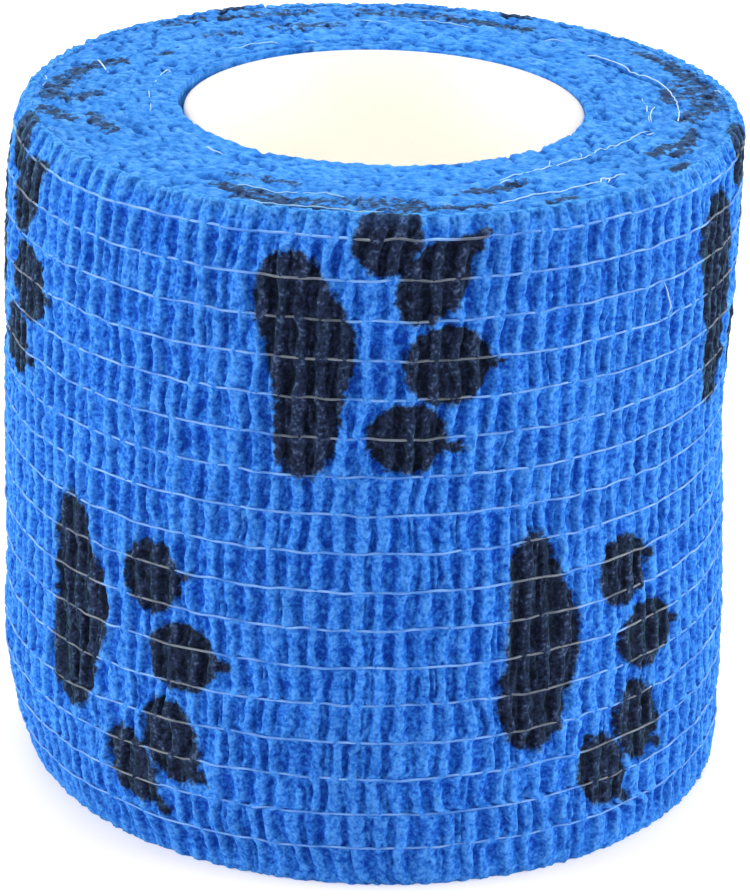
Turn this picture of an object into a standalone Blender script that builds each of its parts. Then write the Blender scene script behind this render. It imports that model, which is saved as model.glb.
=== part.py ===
"""A cohesive bandage roll: one strip of crinkled elastic bandage wound on a short plastic core.

Metres, +Z up. The roll stands on one end with its origin under its middle, so z = 0 is the end it rests on.
Azimuths are turned from +X towards +Y, and the front of the roll faces -Y. Sizes below are in millimetres.
"""

import math

import bmesh
import bpy

MM = 0.001

# The strip as it is wound.
STRIP_WIDTH = 50.0  # also the height of the roll
TURN_THICKNESS = 0.75  # how far one turn of the strip lifts the next
TAIL_AZIMUTH = 112.0  # degrees, where the outer end of the strip lies, at the back
TAIL_CUT = 0.4  # width of the cut end, round the roll

# The crepe: ribs run up the strip, a little wavy, where its elastic threads have drawn it together.
RIBS = 112
RIB_DEPTH = 0.46
RIB_DEPTH_AT_EDGE = 0.26
RIB_EDGE_ZONE = 3.0  # the ribs grow shallow this close to either edge of the strip
RIB_SWAY = 0.24  # sideways, along the strip
RIB_SWAY_LENGTH = 13.0
RIB_UNEVENNESS = 0.09

# The wound form. Radius is over the ribs halfway along the outer turn, and lean is how far that
# section sits towards +X. The lowest and highest rows are where the rounded edges meet the end faces.
WALL_SECTIONS = (
    # height, radius, lean
    (0.0, 25.92, 0.74),
    (0.8, 26.20, 0.68),
    (3.2, 26.80, 0.36),
    (8.3, 27.22, -0.04),
    (15.2, 27.02, -0.10),
    (21.6, 26.83, -0.30),
    (28.0, 26.62, -0.48),
    (35.4, 26.70, -0.30),
    (42.3, 26.70, -0.18),
    (46.9, 26.47, 0.06),
    (49.3, 26.08, 0.28),
    (50.0, 25.68, 0.30),
)

# The upper end face. Each ring follows a turn whose edge stands lower or higher than its neighbours.
FACE_RINGS = (
    # radius, drop below the strip's width
    (23.8, 0.28),
    (22.2, 0.02),
    (20.3, 0.30),
    (18.6, 0.05),
    (16.7, 0.25),
    (15.5, 0.02),
)
FACE_ROLL = 0.10  # slow rise and fall of each ring round the face

# The core, a plain tube a little shorter than the strip is wide.
BORE_RADIUS = 14.63  # of the innermost turn
BORE_EDGE_DROP = 0.25  # how far that turn's edge sits below the strip's full width
CORE_RADIUS = 14.48
CORE_WALL = 0.9
CORE_LENGTH = 49.36
CORE_EASE = 0.25  # rounding of the rims
CORE_SHIFT = 0.30  # towards +X from the middle of the roll
CORE_SIDES = 60

BANDAGE_BLUE = (0.035, 0.165, 0.68, 1.0)
CORE_CREAM = (0.93, 0.91, 0.84, 1.0)

COLUMNS = 2 * RIBS + 1  # a crest and a valley for each rib, and one last crest at the cut end
TAIL_CUT_ANGLE = TAIL_CUT / WALL_SECTIONS[3][1]


def start_empty():
    for obj in list(bpy.data.objects):
        bpy.data.objects.remove(obj, do_unlink=True)


def plain_material(name, color, roughness):
    material = bpy.data.materials.new(name)
    material.use_nodes = True
    shader = material.node_tree.nodes["Principled BSDF"]
    shader.inputs["Base Color"].default_value = color
    shader.inputs["Roughness"].default_value = roughness
    shader.inputs["Metallic"].default_value = 0.0
    return material


def roll_profile():
    """The section of the roll as rows of (part, radius, height, lean), once round it, bore side last."""
    rows = [("wall", radius, height, lean) for height, radius, lean in WALL_SECTIONS]
    rows += [("face", radius, STRIP_WIDTH - drop, 0.0) for radius, drop in FACE_RINGS]
    rows += [("bore", BORE_RADIUS, STRIP_WIDTH - BORE_EDGE_DROP, 0.0), ("bore", BORE_RADIUS, 0.0, 0.0)]
    return rows


def turned_profile(rows):
    """A closed profile spun once round the z axis. Each point keeps its row number."""
    mesh = bmesh.new()
    row_number = mesh.verts.layers.int.new("row")
    ring = [mesh.verts.new((radius, 0.0, height)) for _, radius, height, _ in rows]
    for number, vert in enumerate(ring):
        vert[row_number] = number
    edges = [mesh.edges.new((ring[i], ring[(i + 1) % len(ring)])) for i in range(len(ring))]
    bmesh.ops.spin(
        mesh,
        geom=ring + edges,
        cent=(0.0, 0.0, 0.0),
        axis=(0.0, 0.0, 1.0),
        angle=math.tau,
        steps=COLUMNS,
        use_merge=True,
    )
    return mesh, row_number


def rib_offset(column, height):
    """How far the crepe stands in from the crests, and how far it sways along the strip."""
    from_edge = min(height, STRIP_WIDTH - height) / RIB_EDGE_ZONE
    depth = RIB_DEPTH_AT_EDGE + (RIB_DEPTH - RIB_DEPTH_AT_EDGE) * min(1.0, from_edge)
    valley = depth if column % 2 else 0.0
    uneven = RIB_UNEVENNESS * math.sin(1.9 * column + 0.8 * height)
    phase = math.tau * height / RIB_SWAY_LENGTH
    sway = RIB_SWAY * (0.6 * math.sin(phase + 0.31 * column) + 0.4 * math.sin(2.3 * phase - 0.83 * column))
    return valley + RIB_UNEVENNESS + uneven, sway


def wind_on(point, column, row):
    """Moves one point of the turned profile to its place on the wound strip."""
    part, radius, height, lean = row
    along = column / (COLUMNS - 1)  # 0 at the cut end, 1 where the outer turn goes under it
    azimuth = math.radians(TAIL_AZIMUTH) + TAIL_CUT_ANGLE / 2 + (math.tau - TAIL_CUT_ANGLE) * along
    spiral = TURN_THICKNESS * (0.5 - along)
    shift = CORE_SHIFT
    if part == "wall":
        inward, sway = rib_offset(column, height)
        radius += spiral - inward
        azimuth += sway / radius if 0.0 < along < 1.0 else 0.0
        shift = lean
    elif part == "face":
        outward = (radius - BORE_RADIUS) / (WALL_SECTIONS[-1][1] - BORE_RADIUS)
        height -= FACE_ROLL * (1.0 + math.sin(3.0 * azimuth + 0.9 * radius))
        radius += spiral * outward
        shift = CORE_SHIFT * (1.0 - outward)
    point.x = (shift + radius * math.cos(azimuth)) * MM
    point.y = radius * math.sin(azimuth) * MM
    point.z = height * MM


def bandage_roll(material):
    rows = roll_profile()
    mesh, row_number = turned_profile(rows)
    step = math.tau / COLUMNS
    for vert in mesh.verts:
        column = round(math.atan2(vert.co.y, vert.co.x) % math.tau / step) % COLUMNS
        wind_on(vert.co, column, rows[vert[row_number]])
    bmesh.ops.recalc_face_normals(mesh, faces=mesh.faces)
    return finished("bandage_roll", mesh, material)


def core_tube(material):
    """A tube with eased rims, turned from its wall's section, which runs down its outer side first."""
    outer, inner = CORE_RADIUS, CORE_RADIUS - CORE_WALL
    section = [
        (outer, CORE_LENGTH - CORE_EASE),
        (outer, CORE_EASE / 2),
        (outer - CORE_EASE / 2, 0.0),
        (inner + CORE_EASE / 2, 0.0),
        (inner, CORE_EASE / 2),
        (inner, CORE_LENGTH - CORE_EASE),
        (inner + 0.3 * CORE_EASE, CORE_LENGTH - 0.3 * CORE_EASE),
        (inner + CORE_EASE, CORE_LENGTH),
        (outer - CORE_EASE, CORE_LENGTH),
        (outer - 0.3 * CORE_EASE, CORE_LENGTH - 0.3 * CORE_EASE),
    ]
    mesh = bmesh.new()
    ring = [mesh.verts.new((radius * MM, 0.0, height * MM)) for radius, height in section]
    edges = [mesh.edges.new((ring[i], ring[(i + 1) % len(ring)])) for i in range(len(ring))]
    bmesh.ops.spin(
        mesh,
        geom=ring + edges,
        cent=(0.0, 0.0, 0.0),
        axis=(0.0, 0.0, 1.0),
        angle=math.tau,
        steps=CORE_SIDES,
        use_merge=True,
    )
    bmesh.ops.recalc_face_normals(mesh, faces=mesh.faces)
    tube = finished("core_tube", mesh, material)
    tube.location.x = CORE_SHIFT * MM
    return tube


def finished(name, mesh, material):
    """The bmesh as a shaded object of the roll's collection."""
    data = bpy.data.meshes.new(name)
    mesh.to_mesh(data)
    mesh.free()
    data.shade_smooth()
    data.set_sharp_from_angle(angle=math.radians(50.0))
    data.materials.append(material)
    obj = bpy.data.objects.new(name, data)
    bpy.data.collections["cohesive_bandage_roll"].objects.link(obj)
    return obj


def main():
    start_empty()
    collection = bpy.data.collections.new("cohesive_bandage_roll")
    bpy.context.scene.collection.children.link(collection)
    bandage_roll(plain_material("bandage_fabric", BANDAGE_BLUE, 0.9))
    core_tube(plain_material("core_plastic", CORE_CREAM, 0.45))


main()
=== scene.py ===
import math

import bmesh
import bpy
import numpy as np
from mathutils import Matrix, Vector


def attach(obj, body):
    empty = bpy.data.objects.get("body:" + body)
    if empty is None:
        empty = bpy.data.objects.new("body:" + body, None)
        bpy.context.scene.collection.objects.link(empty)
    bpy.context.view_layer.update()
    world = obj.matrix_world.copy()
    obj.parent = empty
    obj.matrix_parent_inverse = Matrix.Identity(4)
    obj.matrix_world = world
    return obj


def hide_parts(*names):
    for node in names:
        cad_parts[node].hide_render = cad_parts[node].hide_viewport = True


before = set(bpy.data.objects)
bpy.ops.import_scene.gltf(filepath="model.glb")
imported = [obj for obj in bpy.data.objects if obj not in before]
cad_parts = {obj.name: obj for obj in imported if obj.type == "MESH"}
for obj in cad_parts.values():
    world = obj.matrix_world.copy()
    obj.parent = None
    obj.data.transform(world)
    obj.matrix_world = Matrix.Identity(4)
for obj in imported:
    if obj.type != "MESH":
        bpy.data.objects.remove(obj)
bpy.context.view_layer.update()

mm = 0.001

# The wound strip, as the part has it: heights, radii and leans are in mm, azimuths in degrees.
roll = {
    "width": 50.0,
    "turns": 16,  # from the cut end down to the core
    "tailAzimuth": 112.0,
    "innerRadius": 14.63,  # of the turn that lies on the core
    "coreShift": 0.30,
    "heights": (0.0, 0.8, 3.2, 8.3, 15.2, 21.6, 28.0, 35.4, 42.3, 46.9, 49.3, 50.0),
    "radii": (26.18, 26.42, 26.80, 27.20, 27.02, 26.83, 26.62, 26.70, 26.70, 26.47, 26.08, 25.68),
    "leans": (0.74, 0.68, 0.36, -0.04, -0.10, -0.30, -0.48, -0.30, -0.18, 0.06, 0.28, 0.30),
}

# The middle of the strip's thickness: its radius at the cut end, and half of what each turn takes off it.
middleLine = {"radius": 27.03, "halfLoss": 0.379}

# Where the elastic threads run up the width of the strip.
threadLine = {"count": 17, "lowest": 3.25, "spacing": 2.826}

# The strip is not wound quite level: it rises to the right, bows a little and sags low down on the left.
tilt = {
    "rise": 0.26,
    "bow": 0.07,
    "sag": 0.50,
    "sagHeight": 12.0,
    "sagReach": 5.0,
    "bottomEase": 4.0,  # the tilt dies away this close to the edges of the strip
    "topEase": 2.0,
}


def ease(x):
    x = np.clip(x, 0.0, 1.0)
    return x * x * (3.0 - 2.0 * x)


def scatter(a, b, seed):
    # an even spread of values from 0 to 1, always the same for the same numbers
    a = np.asarray(a).astype(np.int64)
    b = np.asarray(b).astype(np.int64)
    h = (a * 374761393 + b * 668265263 + seed * 974634777) & 0xFFFFFFFF
    h = ((h ^ (h >> 13)) * 1274126177) & 0xFFFFFFFF
    h = ((h ^ (h >> 15)) * 2246822519) & 0xFFFFFFFF
    return ((h ^ (h >> 16)) & 0xFFFFFFFF) / 4294967295.0


def cloudy(x, y, seed):
    # soft lumps about one unit across, from -1 to 1
    x, y = np.broadcast_arrays(np.asarray(x, float), np.asarray(y, float))
    left, low = np.floor(x), np.floor(y)
    across, up = ease(x - left), ease(y - low)
    bottom = scatter(left, low, seed) * (1 - across) + scatter(left + 1, low, seed) * across
    top = scatter(left, low + 1, seed) * (1 - across) + scatter(left + 1, low + 1, seed) * across
    return 2.0 * (bottom * (1 - up) + top * up) - 1.0


def smoothCurve(x, knots, values):
    # a curve with no corners through the values at the knots
    knots, values = np.array(knots, float), np.array(values, float)
    slopes = np.gradient(values, knots)
    x = np.clip(x, knots[0], knots[-1])
    i = np.clip(np.searchsorted(knots, x, side="right") - 1, 0, len(knots) - 2)
    gap = knots[i + 1] - knots[i]
    t = (x - knots[i]) / gap
    rise = values[i] * (1 + 2 * t) * (1 - t) ** 2 + values[i + 1] * t * t * (3 - 2 * t)
    return rise + gap * (slopes[i] * t * (1 - t) ** 2 + slopes[i + 1] * t * t * (t - 1))


def alongWall(z, values):
    # a measure of the outer turn at this height
    return smoothCurve(z, roll["heights"], values)


def windOn(turn, z, lift):
    # turn 0 is the cut end and each whole turn lies under the last; lift is outwards from its ridges
    wall, lean = alongWall(z, roll["radii"]), alongWall(z, roll["leans"])
    share = turn / roll["turns"]
    pitch = (alongWall(28.0, roll["radii"]) - roll["innerRadius"]) / roll["turns"]
    radius = wall + pitch / 2 - (wall - roll["innerRadius"]) * share + lift
    shift = lean + (roll["coreShift"] - lean) * share
    azimuth = math.radians(roll["tailAzimuth"]) + math.tau * turn
    return np.stack([shift + radius * np.cos(azimuth), radius * np.sin(azimuth), z], axis=-1) * mm


def lengthAt(turn):
    # how far along the strip, in mm from the cut end
    return math.tau * (middleLine["radius"] * turn - middleLine["halfLoss"] * turn * turn)


def askew(turn, z):
    # how far the threads lie above their places
    across = np.cos(math.radians(roll["tailAzimuth"]) + math.tau * turn)
    low = np.exp(-(((z - tilt["sagHeight"]) / tilt["sagReach"]) ** 2))
    sag = tilt["sag"] * low * ease((-across - 0.3) / 0.6)
    level = tilt["rise"] * across - tilt["bow"] * across ** 2 - sag
    return level * ease(z / tilt["bottomEase"]) * ease((roll["width"] - z) / tilt["topEase"])


def threadAway(z):
    # how far a height is from the nearest thread
    number = np.round((z - threadLine["lowest"]) / threadLine["spacing"])
    nearest = np.clip(number, 0, threadLine["count"] - 1)
    return z - threadLine["lowest"] - nearest * threadLine["spacing"]


# The printed paws. Each spot is rounded: (along the strip, up it, half length, half height, turned),
# in mm and degrees, from the middle of its pad. The pad's own spots run smoothly together.
paws = {
    "repeat": 35.86,
    "padBlend": 1.3,
    # one paw of the lower row lies lower than the rest
    "slip": {"along": 50.4, "reach": 5.5, "down": 0.72},
    "rows": (
        {
            "middle": (69.46, 39.26),
            "pad": (
                (-0.99, 4.63, 2.66, 3.55, 10),
                (0.59, 1.08, 3.1, 4.14, 0),
                (0.49, -4.04, 2.32, 4.24, -4),
            ),
            "toes": (
                (5.22, 9.16, 2.41, 2.51, 0),
                (8.67, 6.21, 3.25, 2.32, 58),
                (10.34, 8.47, 1.58, 0.99, 15),
                (9.95, 0.3, 3.1, 2.91, 0),
                (7.39, -4.93, 2.81, 2.61, 0),
            ),
            "claws": (
                (11.53, 9.26, 0.89, 0.44, 25),
                (13.0, 0.39, 0.94, 0.49, 0),
                (10.74, -5.62, 0.99, 0.44, -15),
            ),
        },
        {
            "middle": (50.89, 18.18),
            "pad": (
                (-0.3, 4.43, 1.97, 4.04, 0),
                (0.52, 0.19, 3.02, 4.63, 0),
                (-0.40, -4.33, 2.72, 3.84, 5),
            ),
            "toes": (
                (7.59, 3.74, 2.46, 2.71, 0),
                (10.05, -1.87, 2.86, 2.61, 0),
                (9.26, -8.47, 2.27, 3.4, 20),
                (5.62, -11.23, 2.17, 3.15, 20),
            ),
            "claws": (
                (10.34, 4.24, 0.89, 0.44, 20),
                (13.1, -1.97, 0.94, 0.44, 0),
                (11.43, -10.84, 0.89, 0.44, -40),
                (7.88, -14.09, 0.89, 0.49, -45),
            ),
        },
    ),
}

farFromInk = 9.0  # mm, more than the ragged edges of the print reach


def spotEdge(along, up, spot, middle):
    # how far a place is outside one spot
    spotAlong, spotUp, halfLength, halfHeight, turned = spot
    right = (along - middle[0] - spotAlong + paws["repeat"] / 2) % paws["repeat"] - paws["repeat"] / 2
    above = up - middle[1] - spotUp
    cos, sin = math.cos(math.radians(turned)), math.sin(math.radians(turned))
    across, upward = (right * cos + above * sin) / halfLength, (above * cos - right * sin) / halfHeight
    return (np.hypot(across, upward) - 1.0) * min(halfLength, halfHeight)


def inkEdge(along, up):
    # how far a place on the strip is outside the nearest printed spot, in mm, below 0 within it
    slip = paws["slip"]
    up = up + slip["down"] * np.exp(-(((along - slip["along"]) / slip["reach"]) ** 2))
    nearest = np.full(np.broadcast(along, up).shape, farFromInk)
    for row in paws["rows"]:
        for spot in row["toes"] + row["claws"]:
            nearest = np.minimum(nearest, spotEdge(along, up, spot, row["middle"]))
        pad = spotEdge(along, up, row["pad"][0], row["middle"])
        for spot in row["pad"][1:]:
            other = spotEdge(along, up, spot, row["middle"])
            meet = np.clip(0.5 + 0.5 * (other - pad) / paws["padBlend"], 0.0, 1.0)
            pad = other * (1 - meet) + pad * meet - paws["padBlend"] * meet * (1 - meet)
        nearest = np.minimum(nearest, pad)
    return nearest


# The crepe of the outer turn: ridges up the strip, with pockets between them and between the threads.
# Widths across the ridges are shares of the distance from one ridge to the next, and the rest are in mm.
crepe = {
    "ridges": 112,
    "pitch": 1.517,
    "seams": (24.0, 75.0),  # straight ridges where the front half of the turn meets the back
    # how far a ridge strays along the strip, slowly and shakily
    "wander": 0.22,
    "wanderLength": 3.1,
    "shake": 0.16,
    "shakeLength": 1.1,
    "step": 0.46,  # how far it may shift where it passes under a thread
    "rowStep": 0.95,  # and how far a whole stretch of ridges may
    "scatteredBelow": 18.0,  # low down the ridges are scattered
    "alignedAbove": 34.0,  # and near the top they run on from row to row
    # across a ridge
    "ridgeHalfWidth": 0.085,
    "widthSpread": 0.11,
    "widthAtThread": 0.06,
    "widthShake": 0.075,
    "flank": 0.25,
    "creaseAway": 0.20,  # from the foot of the ridge to the crease beside it
    "crease": 0.11,
    "minorHalfWidth": 0.17,
    "minorHeight": 0.66,  # as a share of a ridge's
    # heights, outwards
    "crest": -0.09,
    "depth": 0.56,
    "floor": 0.44,  # shares of the depth, from a puffed up cell to a hollow one
    "floorSpread": 0.50,
    "crumb": 0.11,
    "fineCrumb": 0.060,
    "reliefFloor": -0.58,  # the lift at the bottom of a pocket
    "reliefRise": 0.53,  # and from there to a crest
    # where the columns of the mesh lie from one ridge to the next
    "placesFront": (0.0, 0.06, 0.13, 0.21, 0.30, 0.40, 0.50, 0.60, 0.70, 0.79, 0.87, 0.94),
    "placesBack": (0.0, 0.07, 0.15, 0.25, 0.37, 0.50, 0.63, 0.75, 0.85, 0.93),
}


def byRow(z, valueOf):
    # one value for each row between two threads, run together where the rows meet
    level = (z - threadLine["lowest"]) / threadLine["spacing"]
    gap = np.floor(level)
    up, down = ease((level - gap - 0.90) / 0.20), ease((0.10 - level + gap) / 0.20)
    return valueOf(gap) * (1 - up - down) + valueOf(gap + 1) * up + valueOf(gap - 1) * down


def perCell(ridge, z, seed):
    # one value for each cell, which lies between two ridges and two threads
    return byRow(z, lambda gap: scatter(ridge, gap, seed))


def ridgeWander(ridge, z):
    # how far a ridge strays along the strip, in mm
    slow = crepe["wander"] * cloudy(0.61 * ridge, z / crepe["wanderLength"], 11)
    slow = slow + crepe["shake"] * cloudy(2.3 * ridge, z / crepe["shakeLength"], 12)
    low, high = ease((crepe["scatteredBelow"] - z) / 8.0), ease((z - crepe["alignedAbove"]) / 6.0)
    scattered = 0.70 + 0.90 * ease(0.5 + 0.55 * cloudy(ridge / 9.0, z / 8.0, 28))
    scattered = scattered * (1.0 + 0.3 * low) * (1.0 - 0.6 * high)
    rowStep = crepe["rowStep"] * (0.20 + 0.80 * low) * (1.0 - 0.8 * high)
    rowShift = rowStep * byRow(z, lambda gap: cloudy(ridge / 4.5, 7.3 * gap, 29))
    step = crepe["step"] * scattered * (perCell(ridge, z, 13) - 0.5)
    fromSeam = np.min([np.abs(ridge - seam) for seam in crepe["seams"]], axis=0)
    return ease(fromSeam / 2.0) * (slow + rowShift + step)


def ridgeFlank(ridge, away, side, z):
    # the ridge's own height, and the crease beside it, at this distance from its middle
    nearThread = np.exp(-((threadAway(z) / 0.40) ** 2))
    half = crepe["ridgeHalfWidth"] + crepe["widthSpread"] * perCell(ridge, z, 14) ** 2
    half = half + crepe["widthAtThread"] * nearThread
    half = half + crepe["widthShake"] * cloudy(5.1 * ridge + 3 * side, z / 0.55, 20)
    stands = 0.55 + 0.45 * ease((perCell(ridge, z, 15) - 0.02) / 0.30)
    height = ease(1.0 - (away - half) / crepe["flank"]) * stands
    height = height * (0.93 + 0.07 * cloudy(ridge * 7.7, z / 0.35, 25))
    fold = np.exp(-(((away - half - crepe["creaseAway"]) / crepe["crease"]) ** 2))
    return height, 0.75 * fold * ease(perCell(2 * ridge + side, z, 16) / 0.6)


def crepeAt(column, places, z):
    # column counts the places across the ridges; gives (ridges along the strip, lift, relief from 0 to 1)
    places = np.array(places)
    ridge, across = column // len(places), places[column % len(places)]
    wander = ridgeWander(ridge, z) * (1 - across) + ridgeWander(ridge + 1, z) * across
    along = ridge + across + wander / crepe["pitch"]
    leftHeight, leftCrease = ridgeFlank(ridge, across, 0, z)
    rightHeight, rightCrease = ridgeFlank(ridge + 1, 1 - across, 1, z)
    slant = 0.5 + 0.22 * cloudy(3.7 * ridge, z / 1.7, 15)
    minor = ease(1.0 - np.abs(across - slant) / crepe["minorHalfWidth"])
    minor = minor * ease((perCell(ridge, z, 18) - 0.62) / 0.3) * crepe["minorHeight"]
    height = np.maximum(np.maximum(leftHeight, rightHeight), minor)
    crease = np.maximum(leftCrease, rightCrease)
    # some cells are puffed up between two creases and others are hollow right across
    floorDepth = crepe["floor"] + crepe["floorSpread"] * ease(perCell(ridge, z, 17))
    floorDepth = floorDepth + 0.12 * cloudy(along * 1.9, z / 0.9, 26)
    nearest = np.round((z - threadLine["lowest"]) / threadLine["spacing"])
    tied = 0.22 + 0.38 * scatter(ridge, nearest, 27)
    pinch = 1.0 - tied * np.exp(-((threadAway(z) / 0.36) ** 2))
    nearEdge = (0.30 + 0.70 * ease(z / 2.6)) * (0.72 + 0.28 * ease((roll["width"] - z) / 3.0))
    deep = (1.0 - height) * (floorDepth + (1.0 - floorDepth) * crease)
    crumb = crepe["crumb"] * cloudy(along * 4.1, z / 0.42, 19)
    crumb = crumb + crepe["fineCrumb"] * cloudy(along * 7.6, z / 0.22, 21)
    lift = crepe["crest"] - crepe["depth"] * deep * pinch * nearEdge + crumb
    # the relief also darkens the cloth's colour in the pockets: painted shade
    return along, lift, np.clip((lift - crepe["reliefFloor"]) / crepe["reliefRise"], 0.0, 1.0)


# Each length of strip is a grid closed into a tube. Its rows go down the inner side and back up the outer.
gridLayers = ("row", "column", "band")


def addTube(work, rows, columns, firstColumn, band):
    rowOf, columnOf, bandOf = [work.verts.layers.int[layer] for layer in gridLayers]
    grid = bmesh.ops.create_grid(work, x_segments=columns, y_segments=rows, size=0.5)["verts"]
    seam = []
    for vert in grid:
        row = round((vert.co.y + 0.5) * rows) % rows
        vert[rowOf], vert[columnOf] = row, round((vert.co.x + 0.5) * columns) + firstColumn
        vert[bandOf] = band
        angle = math.tau * row / rows
        vert.co = (vert[columnOf], math.sin(angle) + 4 * band, math.cos(angle))
        if row == 0:
            seam.append(vert)
    bmesh.ops.remove_doubles(work, verts=seam, dist=0.01)


def toMesh(name, work):
    data = bpy.data.meshes.new(name)
    work.to_mesh(data)
    work.free()
    return data


def closedTubes(name, rows, tubes):
    # tubes: (columns, first column, band) of each
    work = bmesh.new()
    for layer in gridLayers:
        work.verts.layers.int.new(layer)
    for columns, firstColumn, band in tubes:
        addTube(work, rows, columns, firstColumn, band)
    ends = bmesh.ops.holes_fill(work, edges=[e for e in work.edges if e.is_boundary], sides=0)["faces"]
    for edge in {e for face in ends for e in face.edges}:
        edge.smooth = False  # so that the cut ends leave the shading beside them alone
    bmesh.ops.recalc_face_normals(work, faces=work.faces)
    return toMesh(name, work)


def readLayer(data, name):
    values = np.zeros(len(data.vertices), np.int32)
    data.attributes[name].data.foreach_get("value", values)
    return values.astype(np.int64)


def writeLayer(data, name, values):
    layer = data.attributes.new(name, "FLOAT", "POINT")
    layer.data.foreach_set("value", np.ascontiguousarray(values, np.float32).ravel())


def placeVertices(data, places):
    data.vertices.foreach_set("co", places.astype(np.float32).ravel())


def addObject(name, data):
    made = bpy.data.objects.new(name, data)
    bpy.context.scene.collection.objects.link(made)
    return made


# The flat map of a piece, in shares of its width: the strip itself, and its two cut ends beside it.
flatMap = {"stripWidth": 0.96, "endsAt": 0.966, "endWidth": 0.012, "endSpacing": 0.016}


def rowShares(across, down, least, spare):
    # where each row of a section lies on the flat map, from 0 to 1
    steps = np.hypot(np.diff(across), np.diff(down)) + least
    reach = np.concatenate([[0.0], np.cumsum(steps)])
    return reach / (reach[-1] + spare)


def layOut(data, rows, rowShare, columnsInBand, bands):
    # a flat map for baking, with one band of columns above the next
    corners = np.zeros(len(data.loops), np.int32)
    data.loops.foreach_get("vertex_index", corners)
    starts = np.zeros(len(data.polygons), np.int32)
    sizes = np.zeros(len(data.polygons), np.int32)
    data.polygons.foreach_get("loop_start", starts)
    data.polygons.foreach_get("loop_total", sizes)
    row, column = readLayer(data, "row")[corners], readLayer(data, "column")[corners]
    strand = readLayer(data, "band")[corners]
    face = np.repeat(np.arange(len(starts)), sizes)
    lowRow, highRow = np.minimum.reduceat(row, starts)[face], np.maximum.reduceat(row, starts)[face]
    first, last = np.minimum.reduceat(column, starts)[face], np.maximum.reduceat(column, starts)[face]
    cap = first == last
    closing = (lowRow == 0) & (highRow == rows - 1) & (row == 0) & ~cap
    share = np.array(list(rowShare) + [1.0])[np.where(closing, rows, row)]
    band = strand + first // columnsInBand
    u = (column - (first // columnsInBand) * columnsInBand) / columnsInBand * flatMap["stripWidth"]
    v = (band + 0.01 + 0.97 * share) / bands
    capSide = 0.5 - 0.5 * np.cos(math.tau * row / rows)
    capRow = 0.5 + 0.5 * np.sin(math.tau * row / rows)
    farEnd = first > 0
    capPlace = flatMap["endsAt"] + flatMap["endWidth"] * capSide + flatMap["endSpacing"] * farEnd
    u = np.where(cap, capPlace, u)
    v = np.where(cap, (band + 0.1 + 0.8 * capRow) / bands, v)
    uv = data.uv_layers.new(name="OFBake")
    uv.data.foreach_set("uv", np.stack([u, v], axis=-1).astype(np.float32).ravel())


def finishPiece(name, data, material, node):
    data.shade_smooth()
    data.materials.append(material)
    for layer in gridLayers:
        if layer in data.attributes:
            data.attributes.remove(data.attributes[layer])
    piece = addObject(name, data)
    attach(piece, "root")
    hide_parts(node)
    print("made", name, len(data.polygons), "faces")


def newMaterial(name):
    material = bpy.data.materials.new(name)
    material.use_nodes = True
    tree = material.node_tree
    return material, tree, tree.nodes["Principled BSDF"]


def fillSockets(tree, sockets, values):
    for key, value in values.items():
        if isinstance(value, bpy.types.NodeSocket):
            tree.links.new(value, sockets[key])
        else:
            sockets[key].default_value = value


def addNode(tree, kind, inputs=None, **settings):
    made = tree.nodes.new(kind)
    for key, value in settings.items():
        setattr(made, key, value)
    fillSockets(tree, made.inputs, inputs or {})
    return made


def attribute(tree, name):
    return addNode(tree, "ShaderNodeAttribute", attribute_name=name).outputs["Fac"]


def objectPlace(tree):
    return addNode(tree, "ShaderNodeTexCoord").outputs["Object"]


def figure(tree, operation, *values):
    return addNode(tree, "ShaderNodeMath", dict(enumerate(values)), operation=operation).outputs[0]


def grain(tree, place, size, detail=2.0, roughness=0.5):
    # noise with lumps of about this size in mm
    inputs = {"Vector": place, "Scale": 1.0 / (size * mm), "Detail": detail, "Roughness": roughness}
    return addNode(tree, "ShaderNodeTexNoise", inputs).outputs["Fac"]


def between(tree, value, low, high, start=0.0, end=1.0):
    # the value's place from low to high, as a figure from start to end
    inputs = {"Value": value, "From Min": low, "From Max": high, "To Min": start, "To Max": end}
    return addNode(tree, "ShaderNodeMapRange", inputs, clamp=True).outputs["Result"]


def blendColours(tree, share, first, second, way="MIX"):
    # 6 and 7 are the two colours going in, and 2 the one coming out
    mix = addNode(tree, "ShaderNodeMix", {"Factor": share}, data_type="RGBA", blend_type=way)
    for number, colour in ((6, first), (7, second)):
        isSocket = isinstance(colour, bpy.types.NodeSocket)
        fillSockets(tree, mix.inputs, {number: colour if isSocket else (*colour, 1.0)})
    return mix.outputs[2]


def tones(tree, value, stops):
    ramp = addNode(tree, "ShaderNodeValToRGB", {"Fac": value})
    elements = ramp.color_ramp.elements
    for place, _ in stops[2:]:  # a new ramp has two
        elements.new(place)
    for stop, (place, colour) in zip(elements, stops):
        stop.position, stop.color = place, (*colour, 1.0)
    return ramp.outputs["Color"]


def addBump(tree, height, strength, distance, under=None):
    # distance is in mm, and under is the bump that this one lies on
    inputs = {"Height": height, "Strength": strength, "Distance": distance * mm}
    if under is not None:
        inputs["Normal"] = under
    return addNode(tree, "ShaderNodeBump", inputs).outputs["Normal"]
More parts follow.
